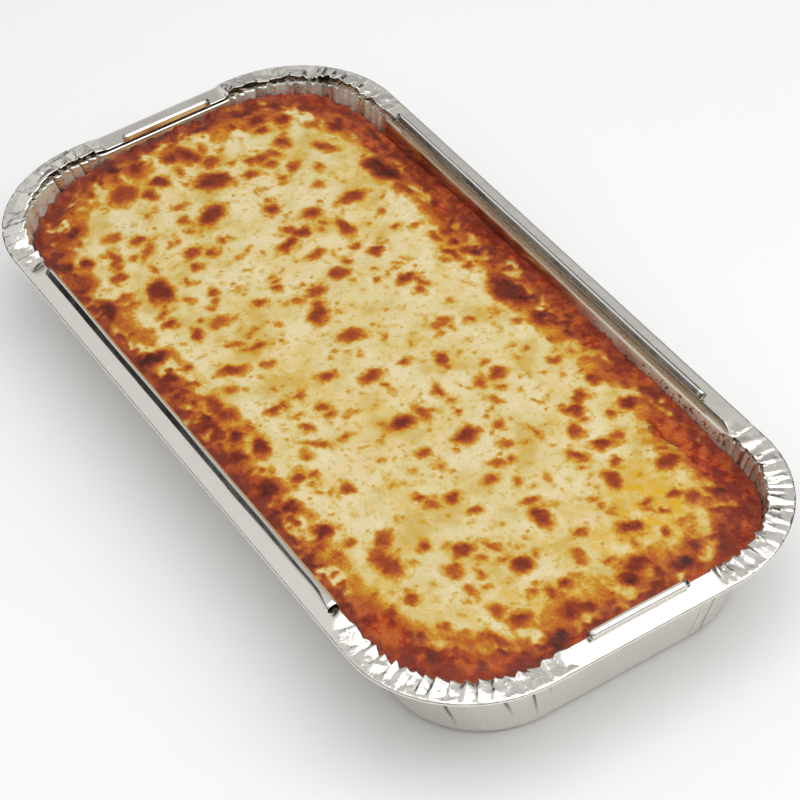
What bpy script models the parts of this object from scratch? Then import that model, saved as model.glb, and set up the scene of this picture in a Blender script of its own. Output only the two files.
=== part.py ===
"""A baked lasagne with melted cheese on top, in the pressed foil tray it was cooked in.

Metres, +Z up. The origin is under the middle of the tray, on the surface that the tray stands on.
+X is the long way of the tray and +Y its right side, seen from above with +X to the front.
"""

import math

import bmesh
import bpy
from mathutils import Vector, noise

MM = 0.001

# The rim, measured to the fold where the foil turns back on itself
RIM_LENGTH = 320 * MM
RIM_WIDTH = 158 * MM
RIM_CORNER_RADIUS = 45.5 * MM
RIM_HEIGHT = 37 * MM

# The foil, drawn much thicker than the real 0.1 mm so that it makes a sound solid
FOIL = 0.5 * MM
FOLD_RADIUS = 0.7 * MM

# The flat ledge round the top of the wall, and the wall down to the base
LEDGE_WIDTH = 9.0 * MM
LEDGE_FALL = 1.2 * MM
BASE_INSET = 17.4 * MM
BASE_CORNER_RADIUS = 34.7 * MM
BASE_BEND_HEIGHT = 3.6 * MM
BASE_BEND_WIDTH = 3.2 * MM
BASE_FLAT_MARGIN = 3.0 * MM

# The pleats that gather the foil at each corner
PLEATS = 13
PLEAT_DEPTH = 1.1 * MM
CRUSHED_LIP = 8.0 * MM
CRUSHED_ZIGZAG = 1.3 * MM
CRUSHED_RIPPLE = 0.9 * MM

# The lip that is folded in over the ledge, with a rolled bead along its free edge
LIP_LENGTH = 7.0 * MM
BEAD_RADIUS = 1.7 * MM
BEAD_WALL = 0.5 * MM
BEAD_SIDES = 10
BEAD_SET_BACK = 0.4 * MM
BEAD_LIFT = 0.05 * MM

# Food
GAP = 0.3 * MM
FOOD_BEND_WIDTH = 3.8 * MM
FOOD_DROP_AT_EDGE = 5.6 * MM
FOOD_DOME = 1.7 * MM
CHEESE_FLOOR_DROP = 9.8 * MM
CHEESE_ROUNDING = 1.0 * MM
CHEESE_STEP = 0.35 * MM
BLISTER_HEIGHT = 1.0 * MM
BLISTER_SPACING = 17 * MM
CRAG_HEIGHT = 0.9 * MM
CRAG_SPACING = 9 * MM
BLISTER_SEED = 1.5
CRAG_SEED = 8.1
BORDER_SHARES = (0, 0.35, 0.7, 1)
CHEESE_CELLS = (56, 26)

# Where the food baked higher or sank near its edge, in mm: middle x and y, reach along each, and the rise
SWELLS = (
    (-152, 12, 18, 36, 1.5),
    (-140, -57, 24, 20, -2.8),
    (-104, 70, 38, 16, -2.4),
    (112, 70, 40, 14, -1.6),
)


class Side:
    """One straight side of the rim. Places along it are measured from its middle, anticlockwise.

    tilt is how steeply its lip rises in degrees, and pinch how far it is squeezed in. lip and bead are
    where the smooth lip and its bead start and end, and cheese_border how far the cheese stays off.
    """

    def __init__(self, out, half_length, distance, tilt, pinch, lip, bead, cheese_border):
        self.out = Vector(out)
        self.pinch = pinch * MM
        self.way = Vector((-out[1], out[0]))
        self.half_length = half_length
        self.distance = distance
        self.tilt = math.radians(tilt)
        self.lip = (lip[0] * MM, lip[1] * MM)
        self.bead = (bead[0] * MM, bead[1] * MM)
        self.cheese_border = cheese_border * MM

    def straight(self, inset, radius):
        """Half the straight length of the outline at this inset and corner radius."""
        return self.half_length - inset - radius

    def lip_ends(self, inset, radius):
        """Where the smooth lip starts and ends, drawn in where the outline's straight is shorter."""
        furthest = max(-self.lip[0], self.lip[1])
        room = self.straight(inset, radius) - LEAST_TAIL
        shrink = min(1, room / furthest)
        return self.lip[0] * shrink, self.lip[1] * shrink

    def point(self, inset, along):
        return self.out * (self.distance - inset) + self.way * along


HALF_LENGTH = RIM_LENGTH / 2
HALF_WIDTH = RIM_WIDTH / 2
RIGHT = Side((0, 1), HALF_LENGTH, HALF_WIDTH, 10, 0, (-102, 102), (-90, 97), 11)
FAR = Side((-1, 0), HALF_WIDTH, HALF_LENGTH, -6, 1, (-28, 22), (-21, 15), 5)
LEFT = Side((0, -1), HALF_LENGTH, HALF_WIDTH, 25, 0, (-103, 101), (-97, 99), 5)
NEAR = Side((1, 0), HALF_WIDTH, HALF_LENGTH, 21, 0, (-23, 28), (-17, 19), 9)
SIDES = (RIGHT, FAR, LEFT, NEAR)

# The straight length, before and after each corner's arc, that the pleats run on into
TAIL = 11.5 * MM
LEAST_TAIL = 3 * MM
LIP_STEPS = {RIGHT: 6, FAR: 3, LEFT: 6, NEAR: 3}

# How much further the cheese stops short of the wall in each corner, and over what angle
CORNER_EXTRA = {(FAR, RIGHT): 2 * MM, (FAR, LEFT): 2 * MM, (NEAR, LEFT): 7 * MM, (NEAR, RIGHT): 11 * MM}
CORNER_SPREAD = math.radians(19)
EDGE_WOBBLE = 3.2 * MM
EDGE_WAVE = 14 * MM
EDGE_NOISE_START = Vector((0, 0, 3.7))


def clear_scene():
    for thing in list(bpy.data.objects):
        bpy.data.objects.remove(thing, do_unlink=True)


def new_collection(name):
    collection = bpy.data.collections.new(name)
    bpy.context.scene.collection.children.link(collection)
    return collection


def new_material(name, colour, roughness, metallic):
    material = bpy.data.materials.new(name)
    material.use_nodes = True
    shader = material.node_tree.nodes["Principled BSDF"]
    shader.inputs["Base Color"].default_value = (*colour, 1)
    shader.inputs["Roughness"].default_value = roughness
    shader.inputs["Metallic"].default_value = metallic
    return material


def foil_material():
    return new_material("foil", (0.80, 0.79, 0.77), 0.28, 1.0)


def sauce_material():
    return new_material("baked_sauce", (0.36, 0.075, 0.018), 0.35, 0.0)


def cheese_material():
    return new_material("melted_cheese", (0.84, 0.66, 0.30), 0.42, 0.0)


def finish_object(name, shape, material, collection):
    """Turns a bmesh into a named object with faces pointing out."""
    bmesh.ops.recalc_face_normals(shape, faces=shape.faces)
    mesh = bpy.data.meshes.new(name)
    shape.to_mesh(mesh)
    shape.free()
    mesh.materials.append(material)
    mesh.shade_smooth()
    mesh.set_sharp_from_angle(angle=math.radians(35))
    thing = bpy.data.objects.new(name, mesh)
    collection.objects.link(thing)
    return thing


def add_loop(shape, points):
    return [shape.verts.new(point) for point in points]


def bridge(shape, first, second):
    """A band of quads between two loops with the same number of points."""
    count = len(first)
    for i in range(count):
        after = (i + 1) % count
        shape.faces.new((first[i], first[after], second[after], second[i]))


def mix(a, b, share):
    return a + (b - a) * share


def smooth_step(share):
    share = min(max(share, 0), 1)
    return share * share * (3 - 2 * share)


# The rim's outline: each station is a place along it that every ring of the tray passes


class Station:
    """A place on the outline. side and along say where, or side and turn in the corner after side."""

    def __init__(self, side, share, lip, pleat):
        self.side = side
        self.share = share
        self.lip = lip
        self.pleat = pleat

    def place(self, inset, radius):
        """The point on the outline and its inward direction, for this inset and corner radius."""
        side = self.side
        following = SIDES[(SIDES.index(side) + 1) % len(SIDES)]
        lip_start, lip_end = side.lip_ends(inset, radius)
        if self.lip:
            return side.point(inset, mix(lip_start, lip_end, self.share)), -side.out
        next_start = following.lip_ends(inset, radius)[0]
        before_arc = side.straight(inset, radius) - lip_end
        after_arc = following.straight(inset, radius) + next_start
        # The corner's share runs over its two straight tails and the arc between them
        arc = math.pi / 2 * RIM_CORNER_RADIUS
        whole = 2 * TAIL + arc
        distance = self.share * whole
        if distance < TAIL:
            along = lip_end + before_arc * distance / TAIL
            return side.point(inset, along), -side.out
        if distance > TAIL + arc:
            along = next_start - after_arc * (whole - distance) / TAIL
            return following.point(inset, along), -following.out
        turn = math.pi / 2 * (distance - TAIL) / arc
        outward = side.out * math.cos(turn) + side.way * math.sin(turn)
        centre = side.point(inset + radius, side.straight(inset, radius))
        return centre + outward * radius, -outward


def stations():
    """Every station round the rim: a smooth lip, then a pleated corner, four times."""
    found = []
    for side in SIDES:
        steps = LIP_STEPS[side]
        for i in range(steps + 1):
            found.append(Station(side, i / steps, True, 0))
        for i in range(1, 2 * PLEATS):
            found.append(Station(side, i / (2 * PLEATS), False, i % 2))
    return found


def wall_section(height):
    """Inset and corner radius of the wall's middle surface at this height."""
    top = RIM_HEIGHT - LEDGE_FALL
    share = (top - height) / top
    top_radius = RIM_CORNER_RADIUS - LEDGE_WIDTH
    return mix(LEDGE_WIDTH, BASE_INSET, share), mix(top_radius, BASE_CORNER_RADIUS, share)


def base_profile(station):
    """The part of the profile from the flat base, round its bend and up the wall to the ledge."""
    bend_inset, bend_radius = wall_section(BASE_BEND_HEIGHT)
    margin = BASE_BEND_WIDTH + BASE_FLAT_MARGIN
    entries = [(bend_inset + margin, bend_radius - margin, FOIL / 2, 0)]
    for turn in (0, math.pi / 4):
        back = BASE_BEND_WIDTH * (1 - math.sin(turn))
        height = mix(BASE_BEND_HEIGHT, FOIL / 2, math.cos(turn))
        entries.append((bend_inset + back, bend_radius - back, height, 0))
    top = RIM_HEIGHT - LEDGE_FALL
    for height in (BASE_BEND_HEIGHT, top / 2, top):
        inset, radius = wall_section(height)
        entries.append((inset, radius, height, PLEAT_DEPTH * station.pleat * height / top))
    return entries


def tray_profile(station):
    """The foil's middle surface at a station, from the base out and up to the lip's free edge.

    Each entry is inset, corner radius, height and how far the point moves out with its pleat.
    """
    entries = base_profile(station)
    if station.lip:
        tilt = station.side.tilt
        pinch = station.side.pinch
        length = LIP_LENGTH
        ripple = 0
    else:
        tilt = 0
        pinch = 0
        length = CRUSHED_LIP + CRUSHED_ZIGZAG * (station.pleat - 0.5)
        ripple = CRUSHED_RIPPLE * station.pleat
    rim = [(FOLD_RADIUS, RIM_HEIGHT - FOLD_RADIUS), (0, RIM_HEIGHT)]
    start = FOLD_RADIUS * (1 - math.sin(tilt))
    start_height = RIM_HEIGHT + FOLD_RADIUS * math.cos(tilt)
    for share in (0, 0.5, 1):
        reach = length * share
        height = start_height + reach * math.sin(tilt) + ripple * share
        rim.append((start + reach * math.cos(tilt), height))
    for reach, height in rim:
        entries.append((reach + pinch, RIM_CORNER_RADIUS - reach, height, 0))
    return entries


def foil_tray_sheet():
    """The tray as an open sheet: rings that follow the profile, closed by the flat base."""
    shape = bmesh.new()
    columns = []
    for station in stations():
        column = []
        for inset, radius, height, out in tray_profile(station):
            point, inward = station.place(inset, radius)
            point = point - inward * out
            column.append((point.x, point.y, height))
        columns.append(column)
    rings = [add_loop(shape, ring) for ring in zip(*columns)]
    shape.faces.new(rings[0])
    for inner, outer in zip(rings, rings[1:]):
        bridge(shape, inner, outer)
    return shape


def bead(side, collection):
    """A rolled bead: a hollow tube, open at both ends, on top of the free edge of a side's lip."""
    start, end = side.bead
    reach = LIP_LENGTH - BEAD_SET_BACK
    lift = BEAD_RADIUS - BEAD_WALL / 2 + BEAD_LIFT
    c = math.cos(side.tilt)
    s = math.sin(side.tilt)
    inset = side.pinch + FOLD_RADIUS * (1 - s) + reach * c - lift * s
    height = RIM_HEIGHT + FOLD_RADIUS * c + reach * s + lift * c
    middle = side.point(inset, (start + end) / 2)
    bpy.ops.mesh.primitive_cylinder_add(
        vertices=BEAD_SIDES, radius=BEAD_RADIUS, depth=end - start, end_fill_type="NOTHING"
    )
    tube = bpy.context.object
    tube.name = "bead_" + str(SIDES.index(side))
    turn = Vector((0, 0, 1)).rotation_difference(side.way.to_3d()).to_matrix().to_4x4()
    tube.data.transform(turn)
    tube.location = (middle.x, middle.y, height)
    wall = tube.modifiers.new("wall", "SOLIDIFY")
    wall.thickness = BEAD_WALL
    wall.offset = -1
    tube.hide_render = True
    tube.display_type = "WIRE"
    for home in list(tube.users_collection):
        home.objects.unlink(tube)
    collection.objects.link(tube)
    return tube


def foil_tray(collection, helpers):
    """The pressed tray: one sheet with thickness, joined with the beads on its four straight lips."""
    tray = finish_object("foil_tray", foil_tray_sheet(), foil_material(), collection)
    thickness = tray.modifiers.new("thickness", "SOLIDIFY")
    thickness.thickness = FOIL
    thickness.offset = 0
    for side in SIDES:
        bead(side, helpers)
    beads = tray.modifiers.new("beads", "BOOLEAN")
    beads.operation = "UNION"
    beads.operand_type = "COLLECTION"
    beads.collection = helpers
    return tray


# The food. Its outlines are loops of points, and its top is a grid stretched to fill a loop


def food_surface(x, y):
    """Height of the lasagne before its blisters: highest in the middle, with an uneven edge."""
    across = 1 - (y / HALF_WIDTH) ** 2
    lengthwise = 1 - (x / HALF_LENGTH) ** 4
    height = RIM_HEIGHT - FOOD_DROP_AT_EDGE + FOOD_DOME * max(across, 0) * max(lengthwise, 0)
    for cx, cy, reach_x, reach_y, rise in SWELLS:
        off = ((x - cx * MM) / (reach_x * MM)) ** 2 + ((y - cy * MM) / (reach_y * MM)) ** 2
        height += rise * MM * math.exp(-off)
    return height


def relief(x, y, spacing, height, seed):
    """Soft lumps between nought and height, about spacing apart."""
    value = noise.noise(Vector((x / spacing, y / spacing, seed)))
    return height * smooth_step(0.5 + value)


def wall_clearance(height):
    """Inset and corner radius of the food where it meets the inner face of the wall."""
    inset, radius = wall_section(height)
    slope = (BASE_INSET - LEDGE_WIDTH) / (RIM_HEIGHT - LEDGE_FALL)
    clear = FOIL / 2 * math.hypot(1, slope) + GAP
    return inset + clear, radius - clear


def polar_point(angle, reach):
    return Vector((math.cos(angle) * reach, math.sin(angle) * reach))


def rounded_reach(angle, half_x, half_y, radius):
    """Distance from the middle to a rounded rectangle's edge in this direction."""
    c = abs(math.cos(angle))
    s = abs(math.sin(angle))
    flat = half_x / c if c * half_y > s * half_x else half_y / s
    centre_x = half_x - radius
    centre_y = half_y - radius
    if flat * c <= centre_x or flat * s <= centre_y:
        return flat
    along = c * centre_x + s * centre_y
    return along + math.sqrt(radius**2 - (centre_x**2 + centre_y**2 - along**2))


def food_reach(angle):
    """Distance from the middle to where the food's uneven top meets the wall in this direction."""
    height = RIM_HEIGHT - FOOD_DROP_AT_EDGE
    for _ in range(3):
        inset, radius = wall_clearance(height)
        reach = rounded_reach(angle, HALF_LENGTH - inset, HALF_WIDTH - inset, radius)
        point = polar_point(angle, reach)
        height = food_surface(point.x, point.y)
    return reach


def cheese_reach(angle):
    """Distance from the middle to the ragged edge of the cheese in this direction."""
    inset, radius = wall_clearance(RIM_HEIGHT - FOOD_DROP_AT_EDGE)
    c = math.cos(angle)
    s = math.sin(angle)
    end = NEAR if c > 0 else FAR
    side = RIGHT if s > 0 else LEFT
    half_x = HALF_LENGTH - inset - end.cheese_border
    half_y = HALF_WIDTH - inset - side.cheese_border
    reach = rounded_reach(angle, half_x, half_y, radius)
    diagonal = math.atan2(half_y - radius / 3, half_x - radius / 3)
    off_diagonal = abs(math.atan2(abs(s), abs(c)) - diagonal)
    reach -= CORNER_EXTRA[end, side] * smooth_step(1 - off_diagonal / CORNER_SPREAD)
    ragged = noise.noise(polar_point(angle, reach / EDGE_WAVE).to_3d() + EDGE_NOISE_START)
    return reach + EDGE_WOBBLE * ragged


def cheese_grid(shape, edge_inset):
    """A grid of the cheese's top, stretched so that its border follows the ragged edge."""
    cells_x, cells_y = CHEESE_CELLS
    rows = []
    for j in range(cells_y + 1):
        row = []
        for i in range(cells_x + 1):
            u = 2 * i / cells_x - 1
            v = 2 * j / cells_y - 1
            share = max(abs(u), abs(v))
            angle = math.atan2(v * HALF_WIDTH, u * HALF_LENGTH)
            reach = share * (cheese_reach(angle) - edge_inset) if share else 0
            x = math.cos(angle) * reach
            y = math.sin(angle) * reach
            height = food_surface(x, y) + relief(x, y, BLISTER_SPACING, BLISTER_HEIGHT, BLISTER_SEED)
            row.append(shape.verts.new((x, y, height)))
        rows.append(row)
    for low, high in zip(rows, rows[1:]):
        for i in range(cells_x):
            shape.faces.new((low[i], low[i + 1], high[i + 1], high[i]))
    front = [row[-1] for row in rows]
    back = [row[0] for row in rows]
    return front[:-1] + rows[-1][:0:-1] + back[:0:-1] + rows[0][:-1]


def border_angles():
    """The direction of each point on the border of the cheese's grid, anticlockwise."""
    cells_x, cells_y = CHEESE_CELLS
    right_way = [(1, 2 * j / cells_y - 1) for j in range(cells_y)]
    back_way = [(1 - 2 * i / cells_x, 1) for i in range(cells_x)]
    left_way = [(-1, 1 - 2 * j / cells_y) for j in range(cells_y)]
    front_way = [(2 * i / cells_x - 1, -1) for i in range(cells_x)]
    found = []
    for u, v in right_way + back_way + left_way + front_way:
        found.append(math.atan2(v * HALF_WIDTH, u * HALF_LENGTH))
    return found


def cheese_floor():
    return RIM_HEIGHT - CHEESE_FLOOR_DROP


def melted_cheese(collection):
    """The cheese: one layer with a blistered top, a rounded ragged edge and a flat underside."""
    shape = bmesh.new()
    top = cheese_grid(shape, CHEESE_ROUNDING)
    edge = []
    foot = []
    for angle in border_angles():
        point = polar_point(angle, cheese_reach(angle))
        height = food_surface(point.x, point.y) - CHEESE_ROUNDING
        edge.append((point.x, point.y, height))
        foot.append((point.x, point.y, cheese_floor()))
    edge = add_loop(shape, edge)
    foot = add_loop(shape, foot)
    bridge(shape, top, edge)
    bridge(shape, edge, foot)
    shape.faces.new(foot)
    return finish_object("melted_cheese", shape, cheese_material(), collection)


def border_ring(share):
    """A ring on the sauce between the cheese's edge and the tray's wall, with baked crags."""
    ring = []
    for angle in border_angles():
        inner = cheese_reach(angle) + GAP
        point = polar_point(angle, mix(inner, food_reach(angle), share))
        height = food_surface(point.x, point.y) - CHEESE_STEP
        if 0 < share < 1:
            height += relief(point.x, point.y, CRAG_SPACING, CRAG_HEIGHT, CRAG_SEED)
            height -= CRAG_HEIGHT / 2
        ring.append((point.x, point.y, height))
    return ring


def side_ring(height, extra):
    """A ring where the food meets the wall, or moved in from it by extra near the base."""
    inset, radius = wall_clearance(height)
    half_x = HALF_LENGTH - inset - extra
    half_y = HALF_WIDTH - inset - extra
    ring = []
    for angle in border_angles():
        point = polar_point(angle, rounded_reach(angle, half_x, half_y, radius - extra))
        ring.append((point.x, point.y, height))
    return ring


def lasagne_filling(collection):
    """The sauce, pasta and meat: fills the tray, with a shallow recess that the cheese lies in."""
    shape = bmesh.new()
    floor = []
    for angle in border_angles():
        point = polar_point(angle, cheese_reach(angle) + GAP)
        floor.append((point.x, point.y, cheese_floor() - GAP))
    rings = [floor]
    rings += [border_ring(share) for share in BORDER_SHARES]
    rings.append(side_ring(BASE_BEND_HEIGHT, 0))
    rings.append(side_ring(FOIL + GAP, FOOD_BEND_WIDTH))
    loops = [add_loop(shape, ring) for ring in rings]
    for inner, outer in zip(loops, loops[1:]):
        bridge(shape, inner, outer)
    shape.faces.new(loops[0])
    shape.faces.new(loops[-1])
    return finish_object("lasagne_filling", shape, sauce_material(), collection)


def build():
    clear_scene()
    meal = new_collection("foil_tray_meal")
    helpers = new_collection("beads")
    helpers.hide_render = True
    foil_tray(meal, helpers)
    lasagne_filling(meal)
    melted_cheese(meal)


build()
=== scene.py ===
"""The looks of the foil tray lasagne: crinkled foil, baked sauce and browned melted cheese.

Metres, +Z up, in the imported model's frame. The long way of the tray is X and its right side is +Y.
"""

import math

import bmesh
import bpy
import numpy as np
from mathutils import Matrix, Vector, noise


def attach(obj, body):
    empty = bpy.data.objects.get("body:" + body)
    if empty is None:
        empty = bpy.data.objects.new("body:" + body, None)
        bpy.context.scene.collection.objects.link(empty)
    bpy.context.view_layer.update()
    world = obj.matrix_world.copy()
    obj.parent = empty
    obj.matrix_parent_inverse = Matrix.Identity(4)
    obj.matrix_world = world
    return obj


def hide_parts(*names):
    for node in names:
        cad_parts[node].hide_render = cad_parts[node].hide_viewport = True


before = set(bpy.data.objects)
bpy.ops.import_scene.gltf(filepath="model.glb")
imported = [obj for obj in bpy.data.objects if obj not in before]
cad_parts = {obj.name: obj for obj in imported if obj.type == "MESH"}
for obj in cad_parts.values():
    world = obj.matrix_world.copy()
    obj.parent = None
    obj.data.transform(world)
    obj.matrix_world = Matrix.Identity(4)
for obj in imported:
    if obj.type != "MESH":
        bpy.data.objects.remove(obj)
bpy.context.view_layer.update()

MM = 0.001

# The rim, measured to the fold where the foil turns back on itself
HALF_LENGTH = 160 * MM
HALF_WIDTH = 79 * MM
RIM_CORNER_RADIUS = 45.5 * MM
RIM_HEIGHT = 37 * MM
FOLD_RADIUS = 0.7 * MM
FOIL = 0.5 * MM
SKIN = 0.16 * MM

# Ledge, wall and base
LEDGE_WIDTH = 9.0 * MM
LEDGE_FALL = 1.2 * MM
LEDGE_BEND = 0.9 * MM
BASE_INSET = 17.4 * MM
BASE_CORNER_RADIUS = 34.7 * MM
BASE_BEND_HEIGHT = 3.6 * MM
BASE_BEND_WIDTH = 3.2 * MM
BASE_FLAT_MARGIN = 3.0 * MM
WALL_TOP = RIM_HEIGHT - LEDGE_FALL
# The wall's dull places, and its baked film with painted reflection, end this little above it
WALL_MARGIN = 0.2 * MM
DULL_SEED = 95
FILM_AND_REFLECTION_SEED = 90

# Points along each profile: round the base's bend, up the wall, round the fold and along the lip
BASE_BEND_POINTS = 5
WALL_POINTS = 14
FOLD_POINTS = 9
LIP_POINTS = 15

# Edges where a piece's faces turn by more than this, in degrees, look sharp
FOIL_SHARP_ANGLE = 26
CHEESE_SHARP_ANGLE = 50
SAUCE_SHARP_ANGLE = 60

# Lips and beads
LIP_LENGTH = 7.0 * MM
CRUSHED_LIP = 8.0 * MM
BEAD_OUTER = 1.57 * MM
BEAD_SET_BACK = 0.4 * MM
BEAD_STEP = 2.2 * MM
BEAD_POINTS = 44
BEAD_LIFT = 0.02 * MM
# How much smaller the curl is at its inner end, the lines of the rolling on it, and how it wavers
BEAD_SHRINK = 0.28 * MM
BEAD_LINES = 9
BEAD_LINE_DEPTH = 0.03 * MM
BEAD_WAVER = 0.12 * MM
BEAD_WAVE = 30 * MM
BEAD_SEED = 40
BEAD_START = math.radians(-4)
BEAD_END = math.radians(318)
# The disc that closes each end of a bead, painted dark as shade for the hollow inside the curl, stands this
# far past it, and is this much smaller
BEAD_CAP = 0.1 * MM

# Corners
TAIL = 11.5 * MM
LEAST_TAIL = 3 * MM
CORNER_ARC = math.pi / 2 * RIM_CORNER_RADIUS
CORNER_PATH = 2 * TAIL + CORNER_ARC
CORNER_STEPS = 190
CORNER_SEED = 300
PLEAT_DEPTH = 1.0 * MM
COARSE_FACETS = 4.6 * MM
FINE_FACETS = 2.3 * MM
# The least and greatest share of its height that a crease has at each step of the way into the lip
CREASE_GROWTH = ((0.05, 0.3), (0.25, 0.7), (0.5, 1), (0.8, 1.1))

# Food
FOOD_EDGE_HEIGHT = RIM_HEIGHT - 5.6 * MM
FOOD_DOME = 1.7 * MM
CHEESE_FLOOR_DROP = 9.8 * MM
CHEESE_STEP = 0.35 * MM
BLISTER_HEIGHT = 1.0 * MM
BLISTER_SPACING = 17 * MM
BLISTER_SEED = 1.5
CRAG_HEIGHT = 0.9 * MM
CRAG_SPACING = 9 * MM
CRAG_SEED = 8.1
CORNER_SPREAD = math.radians(19)
EDGE_WOBBLE = 3.2 * MM
EDGE_WAVE = 14 * MM
EDGE_NOISE_START = Vector((0, 0, 3.7))
FOOD_CLEAR = 0.1 * MM
GAP = 0.3 * MM
CHEESE_CELLS = (400, 190)
SAUCE_RINGS = 22
SEAM = 0.15 * MM
FOOD_FOOT_INSET = 3.8 * MM
SAUCE_WETNESS = 0.10
BROWNING_SEEDS = range(20, 26)
DETAIL_SEEDS = (60, 61, 62)
# Where the food baked higher or sank near its edge, in mm: middle x and y, reach along each, and the rise
SWELLS = (
    (-152, 12, 18, 36, 1.5),
    (-140, -57, 24, 20, -2.8),
    (-104, 70, 38, 16, -2.4),
    (112, 70, 40, 14, -1.6),
)

# The part of the sky that the far lip and the food's flat top mirror
FAR_SKY = (-0.50, 0.33, 0.80)
# The low glow that the lifted lips of the far corners mirror
LOW_GLOW = (-0.85, 0.42, 0.32)
CLOUD_SPACING = 1 / 2.4
FLOOR_REACH = 3.0
LIGHTS_TARGET = Vector((0, 0, 0.03))

# The camera, its place measured from the middle of the rim in lengths of the tray
LENS = 122.81
ELEVATION = math.radians(43.413)
AZIMUTH = math.radians(62.535)
TIP = math.radians(-6.565)
CAMERA_PLACE = (1.90682, -0.96427, 1.93762)

# Seeded noise: points on each side of its grids, and where over its grid the waves start
WAVE_GRID = 256
FACET_GRID = 64
# How far the facets' edges bend, over what length, both in facets, and how far they are turned
FACET_BEND = 0.75
FACET_BEND_LENGTH = 2.3
FACET_COS, FACET_SIN = 0.82, 0.57
WAVE_START = (128.37, 128.71)


class Side:
    """One straight side of the rim, with places along it measured from its middle, anticlockwise."""

    def __init__(self, out, half_length, distance, tilt, pinch, lip, bead, cheese_border, hollow, flank):
        self.out = Vector(out)
        self.way = Vector((-out[1], out[0]))
        self.half_length = half_length
        self.distance = distance
        self.tilt = math.radians(tilt)
        self.pinch = pinch * MM
        self.lip = (lip[0] * MM, lip[1] * MM)
        self.bead = (bead[0] * MM, bead[1] * MM)
        self.cheese_border = cheese_border * MM
        self.hollow = hollow * MM
        self.flank = flank

    def straight(self, inset, radius):
        return self.half_length - inset - radius

    def lip_ends(self, inset, radius):
        furthest = max(-self.lip[0], self.lip[1])
        shrink = min(1, (self.straight(inset, radius) - LEAST_TAIL) / furthest)
        return self.lip[0] * shrink, self.lip[1] * shrink

    def point(self, inset, along):
        return self.out * (self.distance - inset) + self.way * along


# The last entry of each is its bead's flat: middle and half width in degrees, and its depth at either end
RIGHT = Side((0, 1), HALF_LENGTH, HALF_WIDTH, 10, 0, (-102, 102), (-90, 97), 11, 0, (120, 42, 1.0, 1.0))
FAR = Side((-1, 0), HALF_WIDTH, HALF_LENGTH, -6, 1, (-28, 22), (-21, 15), 5, 0, (108, 35, 1.0, 1.0))
LEFT = Side((0, -1), HALF_LENGTH, HALF_WIDTH, 25, 0, (-103, 101), (-97, 99), 5, 0, (208, 60, 1.0, 1.6))
NEAR = Side((1, 0), HALF_WIDTH, HALF_LENGTH, 21, 0, (-23, 28), (-17, 19), 9, 0.5, (225, 25, 1.0, 1.0))
SIDES = (RIGHT, FAR, LEFT, NEAR)
LIP_STEPS = {RIGHT: 42, FAR: 16, LEFT: 42, NEAR: 16}
CORNER_EXTRA = {(FAR, RIGHT): 2 * MM, (FAR, LEFT): 2 * MM, (NEAR, LEFT): 7 * MM, (NEAR, RIGHT): 11 * MM}

# For the corner after each side: how deep its pleats are, how crumpled its lip is, how far it lifts
CORNER_LOOK = {
    RIGHT: (1.35, 1.0, 1.9 * MM),
    FAR: (1.35, 1.15, 1.7 * MM),
    LEFT: (0.3, 0.85, 0),
    NEAR: (1.0, 0.95, 0.5 * MM),
}
# Creases down the wall of the near left corner, in mm: place, slant, depth, and how far down they reach
WALL_CREASES = (
    (27, 0.05, 0.35, 15), (40.6, 0.16, 0.9, 32), (57, 0.0, 0.3, 16), (64, 0.2, 0.8, 26),
    (78, 0.03, 0.8, 31), (84.5, 0.12, 0.6, 22),
)
# Over what length each lip settles into its crushed corners, before and after it
SETTLE = {
    RIGHT: (5 * MM, 6 * MM), FAR: (5 * MM, 5 * MM),
    LEFT: (4 * MM, 5 * MM), NEAR: (5 * MM, 9 * MM),
}

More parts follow.
